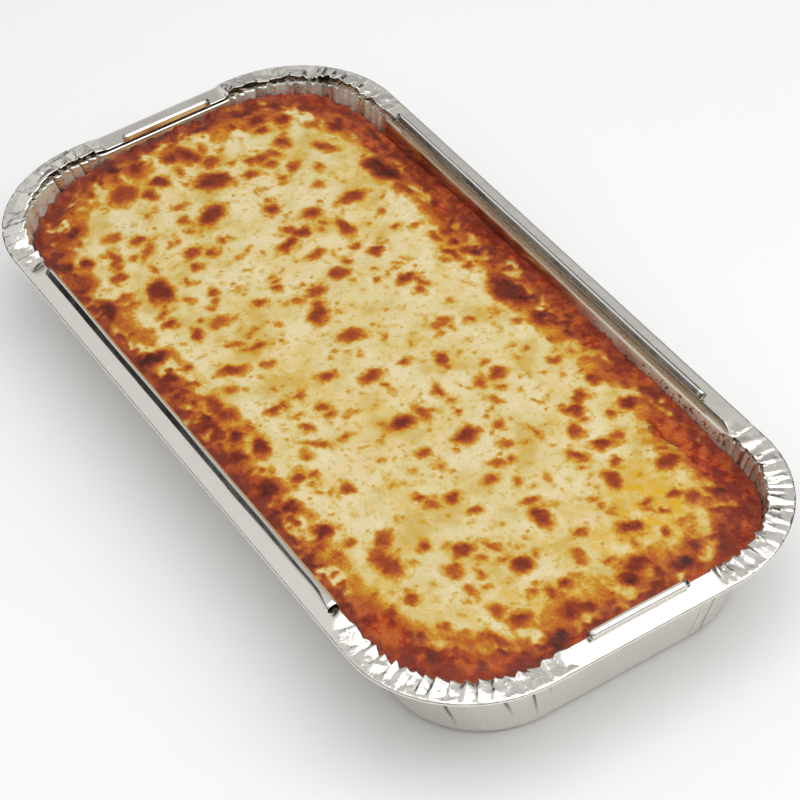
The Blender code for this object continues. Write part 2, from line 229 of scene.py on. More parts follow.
# Scorch marks on the cheese, in mm: middle x and y, length, width, turn in degrees, and how dark
SCORCHES = (
    (-84, 56, 19, 11, 8, 4.0), (-76, 38, 6, 12, 0, 2.9), (-76, 21, 6, 7, 0, 3.1), (-119, 34, 7, 6, 0, 3.0),
    (-108, 46, 10, 5, 45, 2.5), (-122, 48, 4, 6, 0, 1.7), (-131, 41, 6, 5, -30, 2.9),
    (-136, 33, 6, 9, 10, 3.0), (-130, 31, 4, 7, 0, 2.9), (-138, 24, 4, 3, 0, 2.2),
    (-116, 23, 5, 7, 20, 2.7), (-115, 28, 6, 4, 30, 2.4), (-111, 24, 4, 5, 0, 2.5),
    (-104, 30, 8, 4, -40, 2.5), (-101, 24, 3, 4, 0, 2.2), (-98, 37, 4, 3, 20, 2.6), (-89, 32, 4, 6, 0, 2.0),
    (-116, 19, 5, 4, 0, 2.6), (-110, 15, 4, 7, 0, 2.6), (-120, 12, 3, 3, 0, 2.6), (-125, 7, 6, 9, 0, 2.6),
    (-133, 2, 11, 6, 20, 3.0), (-115, 2, 10, 14, -35, 3.4), (-88, 11, 6, 6, 0, 3.0),
    (-69, 13, 5, 7, 20, 3.1), (-73, 10, 6, 4, 20, 2.7), (-66, 6, 5, 9, 15, 3.3), (-56, 11, 5, 7, 0, 2.5),
    (-63, 27, 10, 4, -5, 3.0), (-52, 25, 4, 4, 0, 2.5), (-71, 55, 7, 5, 20, 2.1), (-63, 42, 5, 3, -20, 1.8),
    (-52, 42, 3, 4, 0, 2.4), (-117, 56, 7, 8, 0, 2.9), (-140, 43, 7, 5, -30, 3.0), (-145, 14, 5, 4, 0, 3.2),
    (1, 55, 19, 11, 0, 3.3), (-25, 57, 9, 6, 20, 3.0), (-33, 54, 4, 5, 0, 2.9), (-39, 56, 5, 4, 0, 2.4),
    (-39, 50, 7, 4, 0, 2.5), (-28, 50, 10, 4, 12, 2.9), (-19, 51, 3, 4, 0, 2.4), (-48, 48, 3, 5, 0, 2.0),
    (-25, 30, 5, 7, 0, 3.2), (-22, 33, 8, 3, 20, 2.4), (-45, 29, 5, 5, 0, 2.9), (-17, 30, 5, 4, -10, 2.2),
    (-31, 21, 3, 3, 0, 2.4), (-46, 18, 5, 3, 0, 2.5), (-42, 12, 6, 7, 0, 2.9), (-39, 1, 5, 7, 0, 2.7),
    (-12, -1, 7, 9, -15, 2.6), (1, 27, 5, 8, 0, 1.9), (6, 36, 4, 3, 0, 2.0), (7, 45, 7, 5, 0, 1.3),
    (19, 56, 8, 6, 20, 2.7), (39, 48, 4, 5, 0, 2.5), (34, 29, 5, 7, 0, 2.8), (34, 22, 6, 4, 0, 2.6),
    (27, 28, 3, 3, 0, 2.0), (17, 17, 7, 4, 0, 3.1), (44, 21, 6, 3, 30, 2.0), (29, 8, 6, 3, 0, 2.7),
    (41, 8, 3, 3, 0, 2.6), (11, 7, 3, 4, 0, 2.4), (53, 4, 7, 9, 40, 3.3), (55, 53, 6, 5, 0, 3.0),
    (71, 56, 6, 8, 0, 3.4), (60, 44, 8, 5, -40, 2.6), (64, 39, 6, 7, 0, 3.1), (72, 34, 7, 5, -30, 2.6),
    (82, 38, 5, 8, -20, 3.1), (82, 28, 7, 3, 40, 2.9), (91, 37, 4, 4, 0, 2.6), (97, 31, 8, 5, -10, 3.1),
    (65, 23, 5, 2, 0, 2.3), (81, 44, 4, 6, 0, 2.0), (101, 50, 6, 9, 10, 3.1), (114, 43, 4, 5, 0, 2.8),
    (118, 47, 6, 5, -30, 2.8), (112, 33, 3, 4, 0, 2.6), (118, 36, 3, 3, 0, 2.7), (118, 23, 6, 8, -20, 3.2),
    (105, 21, 3, 3, 0, 2.0), (126, 31, 4, 3, -20, 2.7), (121, 55, 11, 6, 0, 3.2), (137, 46, 8, 5, -30, 3.3),
    (143, 43, 7, 8, 0, 3.6), (139, 28, 6, 8, -20, 3.1), (137, 20, 5, 4, -30, 2.8), (132, 16, 7, 8, 0, 2.9),
    (135, 10, 6, 7, 0, 3.0), (125, 9, 3, 4, 0, 2.2), (98, 3, 10, 6, 0, 3.1), (90, 4, 4, 6, -20, 2.2),
    (111, 9, 5, 4, 30, 2.3), (71, 10, 3, 3, 0, 2.7), (70, 5, 6, 3, 50, 2.3), (64, 12, 5, 3, 40, 2.2),
    (55, 15, 4, 4, 0, 2.2), (119, 3, 8, 4, 0, 2.0), (136, 35, 7, 4, 0, 2.8), (-127, -14, 6, 7, 0, 3.5),
    (-98, -8, 8, 13, 30, 3.4), (-110, -15, 4, 7, 0, 1.8), (-101, -18, 6, 4, 0, 2.1),
    (-136, -5, 5, 6, 0, 2.8), (-123, -20, 7, 4, 0, 2.9), (-139, -18, 8, 6, 0, 2.8),
    (-129, -28, 10, 12, -10, 2.6), (-145, -25, 6, 4, 0, 3.2), (-136, -37, 4, 4, 0, 2.5),
    (-80, -18, 5, 5, 0, 2.7), (-83, -12, 4, 3, 0, 2.5), (-84, -24, 6, 7, 20, 2.6), (-76, -26, 5, 5, 0, 2.3),
    (-61, -28, 4, 4, 0, 2.7), (-56, -30, 5, 3, -20, 1.9), (-63, -37, 5, 3, 30, 2.0),
    (-102, -36, 5, 7, -20, 2.4), (-95, -36, 11, 3, -45, 2.4), (-73, -43, 13, 9, -10, 3.8),
    (-84, -39, 5, 3, 0, 2.2), (-109, -43, 6, 7, -20, 2.2), (-97, -48, 13, 5, -15, 2.5),
    (-88, -51, 6, 6, 0, 2.6), (-56, -48, 5, 5, 0, 2.9), (-62, -47, 3, 6, 20, 2.4), (-78, -55, 4, 9, 0, 2.3),
    (-73, -54, 4, 6, 20, 2.1), (-103, -56, 5, 5, 0, 3.0), (-75, -62, 10, 5, 0, 3.4),
    (-93, -62, 10, 6, 0, 2.8), (-106, -63, 7, 4, 30, 3.0), (-122, -52, 5, 8, 20, 3.1),
    (-29, -4, 12, 6, -35, 3.2), (-39, -6, 5, 3, 0, 2.3), (-49, -9, 4, 3, 0, 2.3), (-45, -18, 4, 5, 0, 2.6),
    (-27, -30, 4, 9, -15, 2.4), (-46, -34, 6, 8, 0, 2.0), (-34, -26, 3, 4, 0, 1.7),
    (-33, -35, 9, 4, 50, 1.8), (-17, -31, 4, 5, 0, 2.1), (-45, -43, 5, 5, 0, 3.0),
    (-22, -42, 5, 10, -25, 3.0), (-33, -54, 4, 4, 0, 2.6), (-44, -60, 6, 10, 0, 4.0),
    (-32, -62, 6, 6, 0, 3.4), (-14, -48, 5, 6, 0, 2.0), (-10, -56, 10, 5, 0, 2.6), (-4, -54, 5, 6, 0, 2.6),
    (7, -57, 6, 6, 0, 3.5), (16, -53, 8, 6, -20, 3.0), (4, -41, 4, 6, 0, 2.8), (5, -37, 5, 3, 0, 2.5),
    (3, -31, 3, 5, 0, 2.4), (12, -27, 4, 4, 0, 2.6), (1, -18, 4, 5, 0, 3.0), (10, -6, 6, 9, 15, 2.8),
    (35, -2, 9, 4, 0, 2.3), (35, -10, 6, 9, 0, 3.6), (52, -12, 4, 4, 0, 2.6), (17, -36, 4, 4, 0, 2.4),
    (27, -37, 10, 3, 40, 2.1), (29, -43, 6, 5, 0, 1.7), (38, -46, 3, 3, 0, 2.6), (36, -50, 5, 5, 0, 3.1),
    (46, -59, 7, 5, 0, 3.6), (34, -60, 9, 6, 0, 3.0), (50, -40, 5, 5, 0, 2.4), (75, -1, 4, 5, 0, 2.8),
    (74, -15, 5, 5, 0, 3.3), (82, -12, 4, 5, 0, 2.6), (68, -24, 4, 4, 0, 2.9), (73, -22, 4, 5, 0, 2.1),
    (99, -16, 6, 3, 30, 2.3), (95, -25, 5, 8, 20, 3.1), (111, -13, 7, 7, 0, 3.4), (107, -26, 5, 3, 0, 2.2),
    (126, -7, 4, 4, 0, 2.9), (126, -12, 6, 3, 0, 2.4), (136, -11, 7, 8, 0, 3.0), (129, -26, 7, 4, 45, 2.7),
    (122, -30, 6, 4, 20, 2.4), (143, -22, 7, 7, 0, 3.3), (101, -32, 7, 6, 0, 2.4), (111, -32, 6, 4, 0, 2.1),
    (86, -33, 5, 4, -20, 2.7), (76, -42, 6, 8, 30, 2.4), (85, -47, 15, 7, 5, 2.9), (61, -56, 7, 7, 0, 3.6),
    (70, -52, 4, 4, 0, 2.3), (103, -49, 6, 4, 30, 2.4), (103, -57, 6, 4, -40, 2.6),
    (117, -55, 4, 6, 0, 3.2), (118, -47, 4, 4, 0, 2.2), (132, -36, 11, 4, 25, 2.8),
    (131, -48, 8, 4, 30, 3.8), (137, -45, 5, 3, -30, 3.8), (134, -55, 8, 6, 0, 3.7),
)
FLECKS = 1150
FLECK_SEED = 11
# The flecks lie this far from the middle along x and y at most, in mm
FLECK_FIELD = (148, 66)
LEAST_FLECK = 1.1 * MM
FLECK_RANGE = 2.5 * MM

# Specks on the right wall. The field is where they start, are most and end along it, in mm
SPECKS = 150
SPECK_SEED = 4
SPECK_FIELD = (28, 92, 116)
SPECK_SINK = 0.35 * FOIL

# Yellow oily patches on the cheese, in mm: middle x and y, length, width and strength
OIL_PATCHES = (
    (112, 36, 44, 34, 1.0), (119, 20, 18, 30, 0.9), (130, -14, 24, 26, 0.8), (98, -58, 22, 18, 0.7),
    (62, -28, 26, 10, 0.55), (-5, -26, 60, 22, 0.4), (90, -52, 18, 20, 0.5), (118, -24, 16, 10, 0.6),
    (30, -20, 50, 30, 0.3), (-60, 32, 50, 30, 0.2), (44, -45, 20, 12, 0.4), (100, 10, 30, 20, 0.3),
)

# Pools of red sauce, in mm: middle x and y, length, width and strength
SAUCE_PATCHES = (
    (104, 61, 52, 11, 1.0), (122, 63, 30, 12, 1.0), (88, 58, 18, 12, 0.85), (142, 50, 20, 18, 0.8),
    (113, -63, 38, 15, 1.0), (134, -53, 18, 18, 0.95), (145, -40, 14, 20, 0.85), (139, -44, 20, 14, 0.6),
    (-53, 62, 18, 8, 0.8), (38, 63, 18, 7, 0.75), (2, 63, 18, 5, 0.6), (-35, 64, 14, 6, 0.7),
    (-28, 64, 12, 7, 0.7), (58, 64, 16, 9, 0.75), (-112, 62, 24, 9, 0.7), (-100, 61, 16, 8, 0.8),
    (146, 40, 12, 24, 0.6), (147, 5, 9, 50, 0.55), (147, -15, 9, 20, 0.7), (-148, 20, 8, 60, 0.5),
    (-140, -45, 14, 14, 0.4), (-118, -58, 26, 9, 0.45), (26, -64, 30, 6, 0.5), (-8, -65, 20, 5, 0.5),
)


# Small tools


def mix(a, b, share):
    return a + (b - a) * share


def curve(start, turn, end, share):
    """A bend that sets out from start towards turn and comes in at end."""
    return mix(mix(start, turn, share), mix(turn, end, share), share)


def smooth_step(share):
    share = np.clip(share, 0, 1)
    return share * share * (3 - 2 * share)


def climb(place, start, length):
    """0 up to start and 1 from this length beyond it, both in mm."""
    return smooth_step((place - start * MM) / (length * MM))


def linear(red, green, blue):
    """A colour given as it looks on screen, from 0 to 255, turned into scene light."""
    found = []
    for value in (red, green, blue):
        value /= 255
        found.append(value / 12.92 if value <= 0.04045 else ((value + 0.055) / 1.055) ** 2.4)
    return (*found, 1)


class Waves:
    """Smooth seeded noise over the plane, between about -1 and 1, one wave long on average."""

    def __init__(self, seed):
        turn = np.random.default_rng(seed).uniform(0, 2 * math.pi, (WAVE_GRID, WAVE_GRID))
        self.slope_x = np.cos(turn)
        self.slope_y = np.sin(turn)

    def __call__(self, x, y):
        x = np.asarray(x, float) + WAVE_START[0]
        y = np.asarray(y, float) + WAVE_START[1]
        left = np.floor(x).astype(int)
        low = np.floor(y).astype(int)
        fx = x - left
        fy = y - low
        corners = []
        for dy in (0, 1):
            for dx in (0, 1):
                at = (low + dy) % WAVE_GRID, (left + dx) % WAVE_GRID
                corners.append(self.slope_x[at] * (fx - dx) + self.slope_y[at] * (fy - dy))
        ease_x, ease_y = (f**3 * (f * (f * 6 - 15) + 10) for f in (fx, fy))
        return 1.5 * mix(mix(*corners[:2], ease_x), mix(*corners[2:], ease_x), ease_y)

    def over(self, x, y, length, width=None):
        """The noise at places in metres, its waves this long along x, and this wide along y, in mm."""
        return self(x / (length * MM), y / ((width or length) * MM))


class Facets:
    """Seeded crumpling over the plane: flat triangles that meet at sharp creases, between -1 and 1."""

    def __init__(self, seed, cell):
        self.levels = np.random.default_rng(seed).uniform(-1, 1, (FACET_GRID, FACET_GRID))
        self.cell = cell
        self.bends = (Waves(seed + 1), Waves(seed + 2))

    def __call__(self, x, y):
        x = np.asarray(x, float) / self.cell
        y = np.asarray(y, float) / self.cell
        bend_x, bend_y = (bend(x / FACET_BEND_LENGTH, y / FACET_BEND_LENGTH) for bend in self.bends)
        x = x + FACET_BEND * bend_x
        y = y + FACET_BEND * bend_y
        u = FACET_COS * x - FACET_SIN * y
        v = FACET_SIN * x + FACET_COS * y
        i = np.floor(u).astype(int)
        j = np.floor(v).astype(int)
        fu = u - i
        fv = v - j
        places = [((i + di) % FACET_GRID, (j + dj) % FACET_GRID) for dj in (0, 1) for di in (0, 1)]
        a, b, c, d = (self.levels[at] for at in places)
        return np.where(fu > fv, a + (b - a) * fu + (d - b) * fv, a + (d - c) * fu + (c - a) * fv)


def add_object(name, data):
    thing = bpy.data.objects.new(name, data)
    bpy.context.scene.collection.objects.link(thing)
    return thing


def new_piece(name, points, faces, material, sharp_angle):
    mesh = bpy.data.meshes.new(name)
    mesh.from_pydata([tuple(point) for point in points], [], faces)
    mesh.materials.append(material)
    shape = bmesh.new()
    shape.from_mesh(mesh)
    bmesh.ops.recalc_face_normals(shape, faces=shape.faces)
    shape.to_mesh(mesh)
    shape.free()
    mesh.shade_smooth()
    mesh.set_sharp_from_angle(angle=math.radians(sharp_angle))
    return add_object(name, mesh)


def store(piece, **layers):
    """Keeps one number for each vertex for the material, and 0 for the last ones where none is given."""
    for name, values in layers.items():
        kept = np.zeros(len(piece.data.vertices), dtype=np.float32)
        kept[: len(values)] = values
        piece.data.attributes.new(name, "FLOAT", "POINT").data.foreach_set("value", kept)


def band(first, second, closed):
    """Faces between two rows of point numbers, which run round a ring if closed."""
    count = len(first)
    pairs = [(i, (i + 1) % count) for i in range(count if closed else count - 1)]
    return [(first[i], first[after], second[after], second[i]) for i, after in pairs]


def bands(start, width, rows, closed):
    """Faces between rows of this many points each, numbered from start."""
    faces = []
    for first in range(start, start + (rows - 1) * width, width):
        faces += band(range(first, first + width), range(first + width, first + 2 * width), closed)
    return faces


class Nodes:
    """Short ways to build the nodes of a material or of the world."""

    def __init__(self, name, kind=bpy.data.materials):
        self.owner = kind.new(name)
        self.owner.use_nodes = True
        self.tree = self.owner.node_tree

    def wire(self, source, target):
        if isinstance(source, (int, float, tuple)):
            target.default_value = source
        else:
            self.tree.links.new(source, target)

    def add(self, kind, output, inputs, **settings):
        """A new node with these settings and inputs. Gives back one of its outputs."""
        node = self.tree.nodes.new(kind)
        for key, value in settings.items():
            setattr(node, key, value)
        for key, source in inputs.items():
            self.wire(source, node.inputs[key])
        return node.outputs[output]

    def place(self, kind="Object"):
        return self.add("ShaderNodeTexCoord", kind, {})

    def value(self, name):
        return self.add("ShaderNodeAttribute", "Fac", {}, attribute_name=name)

    def noise(self, spacing, detail=2.0, place=None, roughness=0.5):
        """Noise with lumps about spacing apart."""
        inputs = {"Scale": 1 / spacing, "Detail": detail, "Roughness": roughness}
        return self.add("ShaderNodeTexNoise", "Fac", {"Vector": place or self.place(), **inputs})

    def cells(self, spacing, place, output="Distance"):
        return self.add("ShaderNodeTexVoronoi", output, {"Vector": place, "Scale": 1 / spacing})

    def math(self, operation, first, second, clamp=False):
        return self.add("ShaderNodeMath", 0, {0: first, 1: second}, operation=operation, use_clamp=clamp)

    def plus(self, first, second):
        return self.math("ADD", first, second)

    def minus(self, first, second):
        return self.math("SUBTRACT", first, second)

    def times(self, first, second, clamp=False):
        return self.math("MULTIPLY", first, second, clamp)

    def dot(self, first, second):
        return self.add("ShaderNodeVectorMath", "Value", {0: first, 1: second}, operation="DOT_PRODUCT")

    def rescale(self, value, low, high, new_low=0.0, new_high=1.0, smooth=False):
        inputs = {"Value": value, "From Min": low, "From Max": high, "To Min": new_low, "To Max": new_high}
        kind = "SMOOTHSTEP" if smooth else "LINEAR"
        return self.add("ShaderNodeMapRange", "Result", inputs, interpolation_type=kind)

    def ramp(self, value, *stops):
        node = self.tree.nodes.new("ShaderNodeValToRGB")
        self.wire(value, node.inputs["Fac"])
        elements = node.color_ramp.elements
        while len(elements) < len(stops):
            elements.new(0.5)
        for element, (place, colour) in zip(elements, stops):
            element.position = place
            element.color = colour
        return node.outputs["Color"]

    def blend(self, share, first, second):
        inputs = {"Factor": share, "A": first, "B": second}
        return self.add("ShaderNodeMix", "Result", inputs, data_type="RGBA")

    def bump(self, height, depth, strength, **after):
        inputs = {"Height": height, "Distance": depth, "Strength": strength, **after}
        return self.add("ShaderNodeBump", "Normal", inputs)

    def finish(self, shader="Principled BSDF", **sockets):
        for name, source in sockets.items():
            self.wire(source, self.tree.nodes[shader].inputs[name.replace("_", " ")])
        return self.owner


# Materials

CREAM = linear(221, 203, 144)
PALE_CREAM = linear(230, 214, 170)
TAN = linear(208, 178, 104)
STRAW = linear(207, 166, 46)
GOLD = linear(203, 144, 36)
AMBER = linear(188, 102, 30)
TOASTED = linear(160, 70, 26)
SCORCHED = linear(124, 44, 22)
CHARRED = linear(72, 28, 18)
OIL_YELLOW = linear(220, 172, 34)
FLECK_YELLOW = linear(206, 174, 52)
SAUCE_RED = linear(160, 50, 18)
SAUCE_ORANGE = linear(190, 86, 28)
SAUCE_DARK = linear(120, 34, 14)
FOIL_COLOUR = (0.87, 0.838, 0.775, 1)
# Brown of the baked oil film; on the right wall's far half it is also painted shade and painted reflection
# of the sauce
FILM_AND_REFLECTION_COLOUR = (0.36, 0.17, 0.08, 1)
# Near black, painted as shade into the pleats' folds, the near left corner's creases, the left bead's flank
# and the discs that close the beads
SHADE_COLOUR = (0.012, 0.01, 0.008, 1)
DULL_COLOUR = (0.80, 0.86, 0.74, 1)
FLOOR_GREYS = ((0.93, 0.93, 0.93, 1), (0.95, 0.95, 0.95, 1))

# How far apart the food's golden dots and the lumps of its noises are
DOT_SPACING = 4 * MM
BROAD_LUMPS = 14 * MM
MEDIUM_LUMPS = 4.2 * MM
SPECKLES = 2.6 * MM
FINE_LUMPS = 1.1 * MM
# The same for the foil, and how deep the fine bumps of both are
DENTS = 9 * MM
CREASES = 2.4 * MM
SMUDGES = 11 * MM
BUMP = 0.4 * MM


def food_material(name, wetness):
    """Cheese and sauce share their colours, so that one runs into the other without a seam."""
    nodes = Nodes(name)
    place = nodes.place()
    broad = nodes.noise(BROAD_LUMPS, 3, place)
    medium = nodes.noise(MEDIUM_LUMPS, 3, place, 0.6)
    speckle = nodes.noise(SPECKLES, 2, place, 0.7)
    fine = nodes.noise(FINE_LUMPS, 3, place, 0.65)
    toast = nodes.value("toast")
    # The ragged edges of a mark: the noise counts fully where something has started to brown
    fine_swing = nodes.minus(fine, 0.5)
    edge = nodes.plus(nodes.times(fine_swing, 0.42), nodes.times(nodes.minus(medium, 0.5), 0.50))
    started = nodes.rescale(toast, 0.02, 0.28, 0.06, 1.0)
    toast = nodes.plus(toast, nodes.times(edge, started))
    # Small golden dots, each of its own size
    size = nodes.cells(DOT_SPACING, place, "Color")
    depth = nodes.minus(nodes.rescale(size, 0.1, 0.95, 0.0, 0.40), nodes.cells(DOT_SPACING, place))
    depth = nodes.plus(depth, nodes.times(fine_swing, 0.3))
    dots = nodes.rescale(depth, -0.04, 0.20, smooth=True)
    dots = nodes.times(dots, nodes.rescale(size, 0.1, 0.95, 0.13, 0.26))
    toast = nodes.math("MAXIMUM", toast, dots)
    ground = nodes.ramp(broad, (0.33, TAN), (0.44, CREAM), (0.60, PALE_CREAM))
    flecks = nodes.times(nodes.rescale(speckle, 0.55, 0.67, smooth=True), 0.7)
    ground = nodes.blend(flecks, ground, FLECK_YELLOW)
    oily = nodes.times(nodes.value("oil"), nodes.rescale(medium, 0.30, 0.60), True)
    ground = nodes.blend(oily, ground, OIL_YELLOW)
    browned = nodes.ramp(nodes.rescale(toast, 0.0, 1.1), (0.12, STRAW), (0.23, GOLD), (0.37, AMBER),
                         (0.54, TOASTED), (0.72, SCORCHED), (0.94, CHARRED))
    cheese = nodes.blend(nodes.rescale(toast, 0.03, 0.26, smooth=True), ground, browned)
    tone = nodes.plus(nodes.rescale(medium, 0.25, 0.75), nodes.rescale(broad, 0, 1, -0.4, 0.4))
    tone = nodes.plus(tone, nodes.rescale(fine, 0.2, 0.8, -0.12, 0.12))
    red = nodes.ramp(tone, (0.28, SAUCE_DARK), (0.46, SAUCE_RED), (0.68, SAUCE_ORANGE), (0.95, AMBER))
    red = nodes.blend(nodes.rescale(toast, 0.66, 1.1), red, SCORCHED)
    wet = nodes.plus(nodes.value("sauce"), nodes.times(edge, 0.8))
    covered = nodes.rescale(wet, 0.22, 0.80, smooth=True)
    colour = nodes.blend(covered, cheese, red)
    gloss = nodes.rescale(medium, 0.35, 0.65, 0.0, 0.14)
    roughness = nodes.minus(nodes.rescale(covered, 0, 1, 0.52, 0.44 - wetness), gloss)
    normal = nodes.bump(nodes.plus(fine, nodes.times(medium, 1.6)), BUMP, 0.9)
    specular = 0.18 + wetness
    return nodes.finish(Base_Color=colour, Roughness=roughness, Normal=normal, Specular_IOR_Level=specular)


def foil_material():
    """Bright rolled aluminium, dented and creased, with smudges, dull places, a baked-on oil film that is
    partly painted shade and painted reflection of the sauce, and painted shade in its folds.
    """
    nodes = Nodes("bright_foil")
    place = nodes.place()
    height = nodes.times(nodes.noise(CREASES, 2, place), nodes.value("crush"))
    normal = nodes.bump(nodes.noise(DENTS, 2, place), 0.5 * MM, 0.3)
    normal = nodes.bump(height, BUMP, 0.6, Normal=normal)
    roughness = nodes.rescale(nodes.noise(SMUDGES, 4, place, 0.6), 0.3, 0.7, 0.15, 0.29)
    facing = nodes.dot(nodes.add("ShaderNodeNewGeometry", "True Normal", {}), place)
    inside = nodes.rescale(facing, -0.004, 0.004, 1.0, 0.0)
    dull = nodes.times(nodes.value("dull"), inside)
    metallic = nodes.minus(1.0, nodes.times(dull, 0.62))
    roughness = nodes.plus(roughness, nodes.times(dull, 0.06))
    colour = nodes.blend(dull, FOIL_COLOUR, DULL_COLOUR)
    # Baked oil film, which on the right wall's far half is also painted shade and painted reflection of the
    # sauce
    colour = nodes.blend(nodes.times(nodes.value("film"), inside), colour, FILM_AND_REFLECTION_COLOUR)
    # Painted shade in the folds, along the creases, on the left bead's flank and on the beads' end discs
    colour = nodes.blend(nodes.value("shade"), colour, SHADE_COLOUR)
    return nodes.finish(Base_Color=colour, Metallic=metallic, Roughness=roughness, Normal=normal)


def floor_material():
    nodes = Nodes("pale_floor")
    tone = nodes.ramp(nodes.noise(0.4, 1), (0.3, FLOOR_GREYS[0]), (0.7, FLOOR_GREYS[1]))
    return nodes.finish(Base_Color=tone, Roughness=0.9)


# The tray


def next_side(side):
    return SIDES[(SIDES.index(side) + 1) % len(SIDES)]


def wall_section(height):
    """The wall's inset and corner radius at this height."""
    share = (WALL_TOP - height) / WALL_TOP
    top_radius = RIM_CORNER_RADIUS - LEDGE_WIDTH
    return mix(LEDGE_WIDTH, BASE_INSET, share), mix(top_radius, BASE_CORNER_RADIUS, share)


def fold_places(draw, start, end, wide, narrow):
    """Where folds start: after a wide flat, then after a narrow one, and so on, with widths in mm."""
    places = [start]
    while places[-1] < end:
        places.append(places[-1] + draw.uniform(*wide) * MM)
        wide, narrow = narrow, wide
    return np.array(places)


def alternate(count, even, odd):
    return np.where(np.arange(count) % 2 == 0, even, odd)


class Corner:
    """The crushed corner after one side: its pleats, and the creases of the lip pressed down over them."""

    def __init__(self, side, seed):
        self.depth, self.crumple, self.lift = CORNER_LOOK[side]
        self.wall_creases = WALL_CREASES if side is LEFT else ()
        draw = np.random.default_rng(seed)
        self.creases = fold_places(draw, -2 * MM, CORNER_PATH + 4 * MM, (2.2, 5.4), (0.6, 1.5))
        count = len(self.creases)
        self.slants = draw.uniform(-1.4, 1.4, count) * MM
        self.slants[1::2] = self.slants[0::2][: count // 2] + draw.uniform(-0.3, 0.3, count // 2) * MM
        level = alternate(count, draw.uniform(0.5, 1.4, count), draw.uniform(-0.35, 0.1, count)) * MM
        self.levels = [level * draw.uniform(*growth, count) for growth in CREASE_GROWTH]
        self.reach = alternate(count, 0.5, -0.6) * MM + draw.uniform(-0.5, 0.5, count) * MM
        self.folds = fold_places(draw, 0.0, CORNER_PATH, (2.6, 5.4), (0.6, 1.2))
        count = len(self.folds)
        self.fold_depths = alternate(count, 0, draw.uniform(0.6, 1, count))
        self.dull_levels = draw.uniform(0.05, 1, count)
        # How dark the painted shade is in each narrow fold
        self.fold_shades = alternate(count, 0, draw.uniform(0.1, 1, count))
        self.coarse = Facets(seed + 50, COARSE_FACETS)
        self.fine = Facets(seed + 60, FINE_FACETS)
        self.lift_waves = Waves(seed + 70)

    def along_folds(self, distance, values):
        return float(np.interp(distance, self.folds, values))

    def creases_near(self, distance, height):
        """How far off each crease of the near left wall runs here, in mm, and how deep it is."""
        down = (WALL_TOP - height) / MM
        for place, slant, depth, reach in self.wall_creases:
            yield distance / MM - place - slant * down, depth * min(1.0, max(0.0, 2.2 * (1 - down / reach)))

    def wall_shade(self, distance, height):
        """Painted shade down the wall: darkening towards the pleats' folds, and dark lines along the near
        left corner's creases.
        """
        if not self.wall_creases:
            return 0.85 * self.along_folds(distance, self.fold_shades) ** 3
        near = self.creases_near(distance, height)
        return min(0.95, max(1.9 * depth * max(0.0, 1 - abs(off) / 0.7) for off, depth in near))

    def wall_crease(self, distance, height):
        """How far the creases running down from the rim push the wall out here."""
        out = 0.0
        for off, depth in self.creases_near(distance, height):
            out += depth * MM * max(0.0, 1 + off / 1.4 if off < 0 else 1 - off / 0.6)
        return out

    def lip_length(self, distance):
        return CRUSHED_LIP + float(np.interp(distance, self.creases, self.reach))

    def lip_height(self, distance, share):
        """How far the crushed lip stands up at this share of its way in from the outer edge."""
        levels = [np.interp(distance, self.creases + self.slants * share, level) for level in self.levels]
        height = np.interp(share, (0, 0.35, 0.7, 1), levels) * self.crumple
        fade = min(1, share * 3)
        for facets, size in ((self.coarse, 0.42 * MM), (self.fine, 0.12 * MM)):
            height += size * fade * self.crumple * float(facets(distance, share * CRUSHED_LIP))
        raised = float(smooth_step(0.45 + 1.1 * self.lift_waves(distance / (16 * MM), 0.3)))
        return height + self.lift * raised * share**1.4


def corner_place(side, distance, inset, radius):
    """A point on the outline and its inward direction, this far along the corner after a side."""
    following = next_side(side)
    if distance < TAIL:
        lip_end = side.lip_ends(inset, radius)[1]
        along = lip_end + (side.straight(inset, radius) - lip_end) * distance / TAIL
        return side.point(inset, along), -side.out
    if distance > TAIL + CORNER_ARC:
        next_start = following.lip_ends(inset, radius)[0]
        back = (following.straight(inset, radius) + next_start) * (CORNER_PATH - distance) / TAIL
        return following.point(inset, next_start - back), -following.out
    turn = math.pi / 2 * (distance - TAIL) / CORNER_ARC
    outward = side.out * math.cos(turn) + side.way * math.sin(turn)
    centre = side.point(inset + radius, side.straight(inset, radius))
    return centre + outward * radius, -outward


